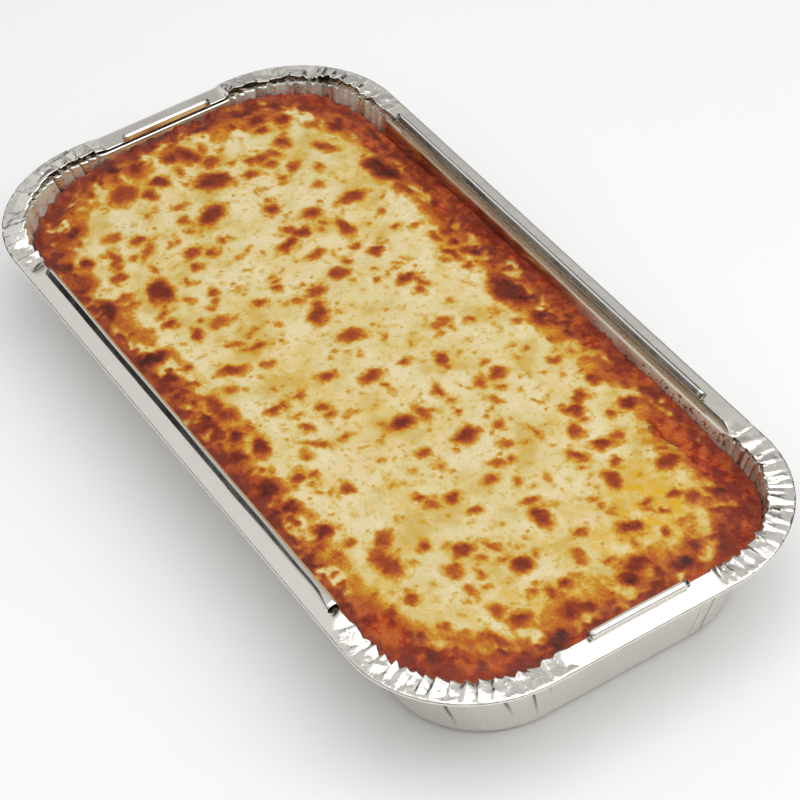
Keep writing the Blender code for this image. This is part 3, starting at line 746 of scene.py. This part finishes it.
class Column:
    """One profile of the tray, from the flat base up to the lip's free edge."""

    def __init__(self, side, share, corner=None):
        self.side = side
        self.share = share
        self.corner = corner
        self.distance = share * CORNER_PATH
        # 0 on a smooth lip, rising to 1 in the corners beside it
        self.crushed = 0.0
        if corner is not None:
            before = self.distance / SETTLE[side][1]
            after = (CORNER_PATH - self.distance) / SETTLE[next_side(side)][0]
            self.crushed = min(1.0, before, after)

    def bump_share(self, in_wall):
        """How strong the small creases are: the near left corner's wall was pressed smooth."""
        if not in_wall:
            return 1.0
        return 0.4 if self.side is LEFT else 2.4

    def dull(self):
        """How dull the flat of the pleat is."""
        if self.corner is None:
            return 0.0
        return self.crushed * self.corner.along_folds(self.distance, self.corner.dull_levels)

    # The painted shade down a corner's wall
    def shade(self, height):
        return 0.0 if self.corner is None else self.crushed * self.corner.wall_shade(self.distance, height)

    def place(self, inset, radius):
        if self.corner is None:
            start, end = self.side.lip_ends(inset, radius)
            return self.side.point(inset, mix(start, end, self.share)), -self.side.out
        return corner_place(self.side, self.distance, inset, radius)

    def wall(self):
        """Entries of inset, corner radius, height and how far out, from the base to the fold."""
        bend_inset, bend_radius = wall_section(BASE_BEND_HEIGHT)
        margin = BASE_BEND_WIDTH + BASE_FLAT_MARGIN
        found = [(bend_inset + margin, bend_radius - margin, FOIL / 2, 0.0)]
        for turn in np.linspace(0, math.pi / 2, BASE_BEND_POINTS)[:-1]:
            back = BASE_BEND_WIDTH * (1 - math.sin(turn))
            height = mix(BASE_BEND_HEIGHT, FOIL / 2, math.cos(turn))
            found.append((bend_inset + back, bend_radius - back, height, 0.0))
        depth = 0.0
        if self.corner is not None:
            pleat = self.corner.along_folds(self.distance, self.corner.fold_depths) * self.corner.depth
            depth = PLEAT_DEPTH * pleat * self.crushed
        bend_start = WALL_TOP - LEDGE_BEND
        for share in np.linspace(0, 1, WALL_POINTS) ** 0.8:
            height = mix(BASE_BEND_HEIGHT, bend_start, share)
            crease = 0.0 if self.corner is None else self.corner.wall_crease(self.distance, height)
            found.append((*wall_section(height), height, depth * (height / WALL_TOP) ** 1.6 + crease))
        ledge_rise = (RIM_HEIGHT - FOLD_RADIUS - WALL_TOP) / (LEDGE_WIDTH - FOLD_RADIUS)
        ledge_start = WALL_TOP + LEDGE_BEND * ledge_rise
        for share in (0.33, 0.67, 1):
            inset = curve(wall_section(bend_start)[0], LEDGE_WIDTH, LEDGE_WIDTH - LEDGE_BEND, share)
            height = curve(bend_start, WALL_TOP, ledge_start, share)
            found.append((inset, RIM_CORNER_RADIUS - inset, height, depth * (1 - 0.4 * share)))
        for share in (0.25, 0.5, 0.75):
            inset = mix(LEDGE_WIDTH - LEDGE_BEND, FOLD_RADIUS, share)
            height = WALL_TOP + (LEDGE_WIDTH - inset) * ledge_rise + 0.5 * depth * (1 - share)
            found.append((inset, RIM_CORNER_RADIUS - inset, height, 0.0))
        return found

    def rim(self):
        """The fold and the lip, as the same kind of entries."""
        side = self.side
        if self.corner is not None and self.share > 0.5:
            side = next_side(side)
        tilt = side.tilt * (1 - self.crushed)
        pinch = side.pinch * (1 - float(smooth_step(self.crushed)))
        found = []
        for turn in np.linspace(1.5 * math.pi, math.pi / 2 + tilt, FOLD_POINTS)[:-1]:
            inset = pinch + FOLD_RADIUS * (1 + math.cos(turn))
            height = RIM_HEIGHT + FOLD_RADIUS * math.sin(turn)
            found.append((inset, RIM_CORNER_RADIUS - inset + pinch, height, 0.0))
        length = LIP_LENGTH
        if self.corner is not None:
            length = mix(LIP_LENGTH, self.corner.lip_length(self.distance), self.crushed)
        start = FOLD_RADIUS * (1 - math.sin(tilt))
        start_height = RIM_HEIGHT + FOLD_RADIUS * math.cos(tilt)
        for share in np.linspace(0, 1, LIP_POINTS):
            reach = length * share
            height = start_height + reach * math.sin(tilt)
            height -= side.hollow * 4 * share * (1 - share) * (1 - self.crushed)
            if self.corner is not None:
                height += self.crushed * self.corner.lip_height(self.distance, share)
            inset = start + reach * math.cos(tilt)
            found.append((inset + pinch, RIM_CORNER_RADIUS - inset, height, 0.0))
        return found

    def points(self):
        found = []
        for inset, radius, height, out in self.wall() + self.rim():
            point, inward = self.place(inset, radius)
            found.append((*(point - inward * out), height))
        return found


def tray_columns():
    found = []
    for number, side in enumerate(SIDES):
        steps = LIP_STEPS[side]
        found += [Column(side, i / steps) for i in range(steps + 1)]
        corner = Corner(side, CORNER_SEED + number)
        found += [Column(side, i / CORNER_STEPS, corner) for i in range(1, CORNER_STEPS)]
    return found


def bead_point(side, lip, along, turn, radius):
    """A point on the curl: turn 0 lies on the lip, and half a turn is its top."""
    c = math.cos(side.tilt)
    s = math.sin(side.tilt)
    lift = BEAD_OUTER + BEAD_LIFT - radius * math.cos(turn)
    reach = lip + radius * math.sin(turn)
    inset = side.pinch + FOLD_RADIUS * (1 - s) + reach * c - lift * s
    return (*side.point(inset, along), RIM_HEIGHT + FOLD_RADIUS * c + reach * s + lift * c)


def bead_radius(side, turn, along_share):
    """Round, but pressed flat on one flank, with the fine lines of the rolling."""
    radius = BEAD_OUTER - BEAD_SHRINK * turn / BEAD_END
    radius += BEAD_LINE_DEPTH * math.sin(turn * BEAD_LINES)
    middle, half_angle, start, end = side.flank
    flat = BEAD_OUTER * math.cos(math.radians(half_angle)) * mix(start, end, along_share)
    off = turn - math.radians(middle)
    if abs(off) < math.radians(half_angle + 12):
        radius = min(radius, flat / math.cos(off))
    opened = smooth_step(20 * along_share - 19) if side is LEFT else 0
    return radius * (1 + 0.9 * opened * max(0, math.sin(1.25 * (turn - math.pi))))


def bead_shade(side, turn, along_share):
    """Painted shade along the left bead's outer flank, for the shadow gap and dark reflection under the
    curl, which fades towards its near end.
    """
    middle, half_angle = side.flank[:2]
    if side is not LEFT or abs(turn - math.radians(middle)) > math.radians(half_angle - 8):
        return 0.0
    return 0.8 * float(smooth_step(1.5 - 1.3 * along_share))


def bead_strip(side, first):
    """The curl along a lip's free edge: points, faces numbered from first, and its painted shade."""
    start, end = side.bead
    steps = max(8, int((end - start) / BEAD_STEP))
    turns = np.linspace(BEAD_START, BEAD_END, BEAD_POINTS)
    waver = Waves(BEAD_SEED + SIDES.index(side))
    lip = LIP_LENGTH - BEAD_SET_BACK
    points = []
    shade = []
    for share in (i / steps for i in range(steps + 1)):
        along = mix(start, end, share)
        wavering = lip + BEAD_WAVER * float(waver(along / BEAD_WAVE, 0.5))
        for turn in turns:
            points.append(bead_point(side, wavering, along, turn, bead_radius(side, turn, share)))
            shade.append(bead_shade(side, turn, share))
    width = len(turns)
    faces = bands(first, width, steps + 1, False)
    # Discs in painted shade close its ends, standing for the dark hollow inside the curl
    for along, share in ((start - BEAD_CAP, 0), (end + BEAD_CAP, 1)):
        ring = first + len(points)
        for turn in turns:
            radius = bead_radius(side, turn, share) - BEAD_CAP
            points.append(bead_point(side, lip, along, turn, radius))
        faces.append(tuple(range(ring, ring + width)))
        shade += [1.0 if side is LEFT else 0.5] * width
    return points, faces, shade


def foil_tray():
    columns = tray_columns()
    places = [column.points() for column in columns]
    rings = len(places[0])
    count = len(columns)
    points = [point for column in places for point in column]
    wall_rings = len(columns[0].wall())
    crush = []
    dull = []
    corner = []
    shade = []
    for column, place in zip(columns, places):
        for ring in range(rings):
            in_wall = ring < wall_rings
            crush.append(column.crushed * column.bump_share(in_wall))
            dull.append(column.dull() * in_wall)
            corner.append(column.crushed * in_wall)
            shade.append(column.shade(place[ring][2]) if in_wall else 0.0)
    faces = [tuple(i * rings for i in range(count))]
    for i in range(count):
        after = (i + 1) % count
        for j in range(rings - 1):
            faces.append((i * rings + j, after * rings + j, after * rings + j + 1, i * rings + j + 1))
    for side in SIDES:
        strip_points, strip_faces, strip_shade = bead_strip(side, len(points))
        points += strip_points
        faces += strip_faces
        shade += strip_shade
    on_beads = (0, len(points) - len(corner))
    dull = dull_foil(np.array(points), np.pad(dull, on_beads))
    film = baked_film(np.array(points), np.pad(corner, on_beads))
    piece = new_piece("foil_tray_skin", points, faces, foil_material(), FOIL_SHARP_ANGLE)
    store(piece, crush=crush, film=film, dull=dull, shade=shade)
    thickness = piece.modifiers.new("thickness", "SOLIDIFY")
    thickness.thickness = SKIN
    thickness.offset = 0
    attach(piece, "root")
    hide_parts("foil_tray")
    return piece


def dull_foil(points, pleats):
    """Where the wall went dull: on the corners' pleats, and on the near half of the right side."""
    x, y, z = points.T
    right = climb(y, 62, 5) * climb(x, 5, 45)
    patchy = 0.85 + 0.3 * Waves(DULL_SEED).over(x, y, 3)
    return np.clip(np.maximum(pleats, right) * patchy, 0, 1) * (z < WALL_TOP + WALL_MARGIN)


def baked_film(points, corner):
    """Where the wall is browned: baked oil above the food; on the right wall's far half, baked film with
    painted shade and painted reflection of the sauce; browner in the near corners.
    """
    x, y, z = points.T
    patchy = Waves(FILM_AND_REFLECTION_SEED).over(x, y, 5)
    right = climb(y, 62, 5)
    near_food = smooth_step((food_surface(x, y) + (1.4 + 1.6 * patchy + 1.3 * right) * MM - z) / (2.0 * MM))
    # The right wall's far half: baked film darkened further as painted shade and painted reflection of the
    # sauce
    right_wall = right * climb(-x, -48, 60) * climb(x, -112, 8) * (0.75 + 0.3 * patchy)
    film = np.maximum((0.38 + 0.35 * patchy) * near_food, right_wall)
    film *= 1 - 0.8 * corner * (x < 0)
    film = np.maximum(film, corner * (x > 0) * (0.5 + 0.5 * patchy))
    return np.clip(film, 0, 0.95) * (z < WALL_TOP + WALL_MARGIN)


def baked_specks():
    """Little brown specks that spat onto the right wall above the food, mostly at its near half."""
    draw = np.random.default_rng(SPECK_SEED)
    shape = bmesh.new()
    bend = HALF_LENGTH - RIM_CORNER_RADIUS
    for _ in range(SPECKS):
        x = draw.triangular(*SPECK_FIELD) * MM
        height = WALL_TOP - draw.uniform(0.5, 4.6) * MM
        size = (0.18 + 0.42 * draw.random() ** 2.5) * MM
        stretch = draw.uniform(0.7, 1.5)
        inset, radius = wall_section(height)
        if x > bend:
            turn = (x - bend) / radius
            out = Vector((math.sin(turn), math.cos(turn), 0))
            centre = Vector((bend, HALF_WIDTH - inset - radius, height)) + out * (radius - SPECK_SINK)
        else:
            out = Vector((0, 1, 0))
            centre = Vector((x, HALF_WIDTH - (inset + SPECK_SINK), height))
        facing = out.to_track_quat("Z", "Y").to_matrix().to_4x4()
        scale = Matrix.Diagonal((size * stretch, size / stretch, size * 0.45, 1))
        matrix = Matrix.Translation(centre) @ facing @ scale
        bmesh.ops.create_icosphere(shape, subdivisions=1, radius=1, matrix=matrix)
    mesh = bpy.data.meshes.new("baked_specks")
    shape.to_mesh(mesh)
    shape.free()
    mesh.shade_smooth()
    nodes = Nodes("baked_specks")
    tone = nodes.ramp(nodes.noise(4 * MM, 1), (0.35, CHARRED), (0.65, AMBER))
    mesh.materials.append(nodes.finish(Base_Color=tone, Roughness=0.45, Specular_IOR_Level=0.3))
    piece = add_object("baked_specks", mesh)
    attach(piece, "root")
    return piece


# The food


def food_surface(x, y):
    across = np.maximum(1 - (y / HALF_WIDTH) ** 2, 0)
    lengthwise = np.maximum(1 - (x / HALF_LENGTH) ** 4, 0)
    height = FOOD_EDGE_HEIGHT + FOOD_DOME * across * lengthwise
    for cx, cy, reach_x, reach_y, swell in SWELLS:
        off = ((x - cx * MM) / (reach_x * MM)) ** 2 + ((y - cy * MM) / (reach_y * MM)) ** 2
        height = height + swell * MM * np.exp(-off)
    return height


def relief(x, y, spacing, height, seed):
    """Soft lumps between nought and height, the same as the solids have."""
    value = [noise.noise(Vector((a / spacing, b / spacing, seed))) for a, b in zip(x, y)]
    return height * smooth_step(0.5 + np.array(value))


def rounded_reach(angle, half_x, half_y, radius):
    """Distance from the middle to a rounded rectangle's edge in this direction."""
    c = abs(math.cos(angle))
    s = abs(math.sin(angle))
    flat = half_x / c if c * half_y > s * half_x else half_y / s
    centre_x = half_x - radius
    centre_y = half_y - radius
    if flat * c <= centre_x or flat * s <= centre_y:
        return flat
    along = c * centre_x + s * centre_y
    return along + math.sqrt(radius**2 - (centre_x**2 + centre_y**2 - along**2))


def food_outline():
    """Inset and corner radius at the height where the food meets the wall, as the solids have it."""
    inset, radius = wall_section(FOOD_EDGE_HEIGHT)
    slope = (BASE_INSET - LEDGE_WIDTH) / WALL_TOP
    clear = FOIL / 2 * math.hypot(1, slope) + GAP
    return inset + clear, radius - clear


def cheese_reach(angle):
    """Distance from the middle to the ragged edge of the cheese in this direction."""
    inset, radius = food_outline()
    c = math.cos(angle)
    s = math.sin(angle)
    end = NEAR if c > 0 else FAR
    side = RIGHT if s > 0 else LEFT
    half_x = HALF_LENGTH - inset - end.cheese_border
    half_y = HALF_WIDTH - inset - side.cheese_border
    reach = rounded_reach(angle, half_x, half_y, radius)
    diagonal = math.atan2(half_y - radius / 3, half_x - radius / 3)
    off_diagonal = abs(math.atan2(abs(s), abs(c)) - diagonal)
    reach -= CORNER_EXTRA[end, side] * smooth_step(1 - off_diagonal / CORNER_SPREAD)
    place = Vector((c * reach / EDGE_WAVE, s * reach / EDGE_WAVE, 0)) + EDGE_NOISE_START
    return reach + EDGE_WOBBLE * noise.noise(place)


def wall_reach(angle, height, extra=0.0):
    """Distance from the middle to the food's side at this height, close to the foil."""
    inset, radius = wall_section(height)
    gone = FOOD_CLEAR + extra
    return rounded_reach(angle, HALF_LENGTH - inset - gone, HALF_WIDTH - inset - gone, radius - gone)


def food_reach(angle):
    """Distance from the middle to where the food's uneven top meets the wall in this direction."""
    height = FOOD_EDGE_HEIGHT
    for _ in range(3):
        reach = wall_reach(angle, height)
        height = float(food_surface(math.cos(angle) * reach, math.sin(angle) * reach))
    return reach


def marks():
    """Every scorch mark and fleck, in metres."""
    found = [(x * MM, y * MM, length * MM, width * MM, math.radians(turn), dark)
             for x, y, length, width, turn, dark in SCORCHES]
    draw = np.random.default_rng(FLECK_SEED)
    for _ in range(FLECKS):
        x = draw.uniform(-FLECK_FIELD[0], FLECK_FIELD[0]) * MM
        y = draw.uniform(-FLECK_FIELD[1], FLECK_FIELD[1]) * MM
        size = LEAST_FLECK + FLECK_RANGE * draw.random() ** 2.0
        stretch = draw.uniform(0.65, 1.5)
        dark = 0.6 + 1.9 * draw.random() ** 2.2
        found.append((x, y, size * stretch, size / stretch, draw.uniform(0, math.pi), dark))
    return found


def patches(x, y, table, margin=0):
    """Soft oval patches, each this many mm larger: their strength in the middle, 0 at their rims."""
    cover = np.zeros_like(x)
    for cx, cy, length, width, strength in table:
        u = (x - cx * MM) / ((length + margin) / 2 * MM)
        v = (y - cy * MM) / ((width + margin) / 2 * MM)
        cover = np.maximum(cover, strength * smooth_step(1.15 * (1.28 - np.hypot(u, v))))
    return cover


def border_width(x, y):
    """How wide the browned and saucy border is beside each place."""
    left = climb(-y, 40, 20)
    sides = 7 * left + 8 * climb(y, 40, 20) + 5 * climb(-x, 110, 20) + 8 * climb(x, 110, 20)
    corner = climb(abs(x), 95, 45) * climb(abs(y), 35, 25)
    return (5 + sides + (5 + 5 * left) * corner) * MM


class Browning:
    """How toasted, saucy and oily the food is at each place, from 0 to about 1."""

    def __init__(self, x, y, border):
        """border is the distance to the food's outer edge at each place."""
        broad_x, broad_y, fine_x, fine_y, ragged, haze = (Waves(seed) for seed in BROWNING_SEEDS)
        wx = x + 1.2 * MM * broad_x.over(x, y, 5) + 0.75 * MM * fine_x.over(x, y, 1.9)
        wy = y + 1.2 * MM * broad_y.over(x, y, 5) + 0.75 * MM * fine_y.over(x, y, 1.9)
        toast = self.mark_toast(wx, wy)
        around_pools = patches(wx, wy, SAUCE_PATCHES, 11) * (0.75 + 0.35 * ragged.over(x, y, 6))
        toast = np.maximum(toast, 0.42 * around_pools)
        edge = self.edge_toast(x, y, border, ragged, haze)
        self.toast = np.clip(toast + edge * (1.05 - 0.75 * toast), 0, 1.05)
        border = border + 3.4 * MM * ragged.over(x, y, 9) + 2.0 * MM * haze.over(x, y, 4)
        saucy = 0.42 + 0.30 * climb(y, 32, 20) + 0.25 * climb(x, 116, 20)
        saucy = saucy * smooth_step(1.3 - border / (0.5 * border_width(x, y)))
        self.sauce = np.maximum(patches(wx, wy, SAUCE_PATCHES), saucy)
        thin_oil = 0.36 * smooth_step(0.3 + ragged.over(x, y, 14, 11))
        self.oil = np.maximum(patches(x, y, OIL_PATCHES), thin_oil)

    def mark_toast(self, x, y):
        """The scorch marks and flecks, each with a soft skirt."""
        toast = np.zeros_like(x)
        for cx, cy, length, width, turn, dark in marks():
            size = length + width + 2 * MM
            near = np.flatnonzero((abs(x - cx) < size) & (abs(y - cy) < size))
            dx = x[near] - cx
            dy = y[near] - cy
            u = (dx * math.cos(turn) + dy * math.sin(turn)) / (length / 2)
            v = (dy * math.cos(turn) - dx * math.sin(turn)) / (width / 2)
            depth = (1 - np.hypot(u, v)) * min(length, width) / 2
            skirt = 0.62 * MM + 0.14 * min(length, width)
            middle = (0.04 + 0.215 * dark) * smooth_step(0.5 + depth / (2.6 * skirt))
            around = 0.125 * dark * smooth_step(0.5 + (depth + 0.9 * MM) / (3.2 * skirt))
            toast[near] = np.maximum(toast[near], np.maximum(middle, around))
        return toast

    def edge_toast(self, x, y, border, ragged, haze):
        """A broken golden haze well into the cheese, and a darker rim along the food's edge."""
        width = border_width(x, y)
        clouds = ragged.over(x, y, 13, 8) + 0.6 * haze.over(x, y, 5, 3.6)
        haze_share = np.clip(1 - border / (2.3 * width), 0, 1)
        golden = 0.52 * haze_share**0.7 * smooth_step(0.42 + 1.35 * clouds + 0.55 * haze_share)
        lumps = ragged.over(x, y, 6) + 0.7 * haze.over(x, y, 2.6)
        rim = 0.54 * smooth_step(1.2 - border / (0.68 * width) + 1.25 * lumps)
        return golden + rim * (1 - golden)


def food_height(x, y, outside):
    """The food's top. outside is the distance past the cheese's edge, negative on the cheese."""
    on_cheese = relief(x, y, BLISTER_SPACING, BLISTER_HEIGHT, BLISTER_SEED)
    on_sauce = relief(x, y, CRAG_SPACING, CRAG_HEIGHT, CRAG_SEED) - CRAG_HEIGHT / 2 - CHEESE_STEP
    share = smooth_step(0.5 + outside / (6 * MM))
    return food_surface(x, y) + mix(on_cheese, on_sauce, share)


def surface_detail(x, y, browning, border):
    """Blisters where the food browned, small wrinkles, and a rough edge baked against the wall."""
    first, second, third = (Waves(seed) for seed in DETAIL_SEEDS)
    height = 0.34 * smooth_step((browning.toast - 0.25) / 0.5)
    height += 0.16 * first.over(x, y, 4.5) + 0.07 * second.over(x, y, 1.9)
    height += 0.22 * smooth_step((browning.sauce - 0.3) / 0.4) * third.over(x, y, 3.1)
    lumps = smooth_step(0.35 + first.over(x, y, 3.4) + 0.4 * third.over(x, y, 1.7))
    height += (0.5 + 0.9 * climb(-x, 110, 20)) * lumps * smooth_step(1.2 - border / (3.2 * MM))
    return height * MM


def cheese_grid():
    """Directions and shares of the way out for the cheese's grid, and the numbers round its border."""
    cells_x, cells_y = CHEESE_CELLS
    width = cells_x + 1
    u, v = np.meshgrid(np.linspace(-1, 1, width), np.linspace(-1, 1, cells_y + 1))
    border = [j * width + cells_x for j in range(cells_y)]
    border += [cells_y * width + i for i in range(cells_x, 0, -1)]
    border += [j * width for j in range(cells_y, 0, -1)]
    border += range(cells_x)
    angle = np.arctan2(v * HALF_WIDTH, u * HALF_LENGTH)
    return angle.ravel(), np.maximum(abs(u), abs(v)).ravel(), border


def food_points(angle, edge, wall, reach):
    """Points of the food's top this far out. edge and wall are how far the cheese and the food reach."""
    x = np.cos(angle) * reach
    y = np.sin(angle) * reach
    browning = Browning(x, y, wall - reach)
    z = food_height(x, y, reach - edge) + surface_detail(x, y, browning, wall - reach)
    return list(zip(x, y, z)), browning


def food_piece(name, points, faces, browning, look, wetness, sharp_angle):
    piece = new_piece(name, points, faces, food_material(look, wetness), sharp_angle)
    store(piece, toast=browning.toast, sauce=browning.sauce, oil=browning.oil)
    return piece


def cheese_surface():
    """The melted cheese: a fine blistered top that runs without a step into the sauce around it."""
    angle, share, rim = cheese_grid()
    edge = np.array([cheese_reach(a) for a in angle])
    wall = np.array([food_reach(a) for a in angle])
    reach = share * edge
    points, browning = food_points(angle, edge, wall, reach)
    cells_x, cells_y = CHEESE_CELLS
    faces = bands(0, cells_x + 1, cells_y + 1, False)
    foot = range(len(points), len(points) + len(rim))
    for x, y, in_share in [(*points[i][:2], 1 - SEAM / reach[i]) for i in rim]:
        points.append((x * in_share, y * in_share, RIM_HEIGHT - CHEESE_FLOOR_DROP))
    faces += band(rim, foot, True)
    faces.append(tuple(foot))
    piece = food_piece("cheese_surface", points, faces, browning, "browned_cheese", 0.0, CHEESE_SHARP_ANGLE)
    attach(piece, "root")
    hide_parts("melted_cheese")
    return piece


def sauce_surface():
    """The filling: a rough, glossy border round the cheese, with the sides and base behind the foil."""
    angle, _, rim = cheese_grid()
    angle = angle[rim]
    edge = np.array([cheese_reach(a) for a in angle])
    wall = np.array([food_reach(a) for a in angle])
    reach = np.concatenate([mix(edge, wall, share) for share in np.linspace(0, 1, SAUCE_RINGS)])
    points, browning = food_points(*(np.tile(values, SAUCE_RINGS) for values in (angle, edge, wall)), reach)
    count = len(angle)

    def ring(height, reaches):
        return [(math.cos(a) * r, math.sin(a) * r, height) for a, r in zip(angle, reaches)]

    # Down the sides, whose height and extra inset these are, to the base
    lower = ((0.66 * FOOD_EDGE_HEIGHT, 0), (0.33 * FOOD_EDGE_HEIGHT, 0), (BASE_BEND_HEIGHT, 0),
             (FOIL + GAP, FOOD_FOOT_INSET))
    for height, extra in lower:
        points += ring(height, [wall_reach(a, height, extra) for a in angle])
    inner = range(len(points), len(points) + count)
    points += ring(RIM_HEIGHT - CHEESE_FLOOR_DROP - GAP, edge + SEAM)
    faces = bands(0, count, SAUCE_RINGS + len(lower), True)
    faces += band(inner, range(count), True)
    faces += [tuple(inner), tuple(range(inner[0] - count, inner[0]))]
    piece = food_piece("sauce_surface", points, faces, browning, "oily_baked_sauce", SAUCE_WETNESS,
                       SAUCE_SHARP_ANGLE)
    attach(piece, "root")
    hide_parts("lasagne_filling")
    return piece


# The studio


def camera():
    """Looks down on the tray from its near left, slightly tipped, through a long lens."""
    data = bpy.data.cameras.new("camera")
    data.lens = LENS
    data.sensor_width = 36
    thing = add_object("camera", data)
    flat = math.cos(ELEVATION)
    back = Vector((math.sin(AZIMUTH) * flat, -math.cos(AZIMUTH) * flat, math.sin(ELEVATION)))
    level = (-back).cross(Vector((0, 0, 1))).normalized()
    up = level.cross(-back)
    right = math.cos(TIP) * level + math.sin(TIP) * up
    top = -math.sin(TIP) * level + math.cos(TIP) * up
    x, y, z = (share * 2 * HALF_LENGTH for share in CAMERA_PLACE)
    turned = Matrix((right, top, back)).transposed().to_4x4()
    thing.matrix_world = Matrix.Translation((x, y, z + RIM_HEIGHT)) @ turned
    bpy.context.scene.camera = thing


def softbox(name, place, size, radiance):
    """A rectangular light facing the tray. radiance is how bright its face looks, 1 being white."""
    data = bpy.data.lights.new(name, "AREA")
    data.shape = "RECTANGLE"
    data.size, data.size_y = size
    data.energy = radiance * math.pi * size[0] * size[1]
    thing = add_object(name, data)
    thing.location = place
    thing.rotation_euler = (LIGHTS_TARGET - Vector(place)).to_track_quat("-Z", "Y").to_euler()


def sky():
    """A pale tent over a dark horizon, dimmer behind the far end, which bright foil needs around it."""
    nodes = Nodes("studio", bpy.data.worlds)
    way = nodes.place("Generated")
    height = nodes.add("ShaderNodeSeparateXYZ", "Z", {0: way})
    light = nodes.rescale(height, 0.26, 0.56, 0.03, 0.74, True)
    light = nodes.times(light, nodes.rescale(nodes.dot(way, FAR_SKY), 0.90, 0.99, 1.0, 0.68, True))
    clouds = nodes.noise(CLOUD_SPACING, place=way)
    light = nodes.times(light, nodes.rescale(clouds, 0.35, 0.65, 0.80, 1.15, True))
    glow = nodes.rescale(nodes.dot(way, LOW_GLOW), 0.88, 0.98, 0.0, 0.40, True)
    return nodes.finish("Background", Color=nodes.math("MAXIMUM", light, glow))


def studio():
    mesh = bpy.data.meshes.new("floor")
    corners = [(x * FLOOR_REACH, y * FLOOR_REACH, 0) for x, y in ((-1, -1), (1, -1), (1, 1), (-1, 1))]
    mesh.from_pydata(corners, [], [(0, 1, 2, 3)])
    mesh.materials.append(floor_material())
    floor = add_object("floor", mesh)
    softbox("top_light", (0.30, 0.12, 1.25), (1.5, 1.6), 1.22)
    softbox("key_light", (0.85, 0.9, 0.95), (0.5, 0.5), 2.1)
    bpy.context.scene.world = sky()
    bpy.context.scene.view_settings.view_transform = "Standard"


camera()
studio()
foil_tray()
sauce_surface()
cheese_surface()
baked_specks()
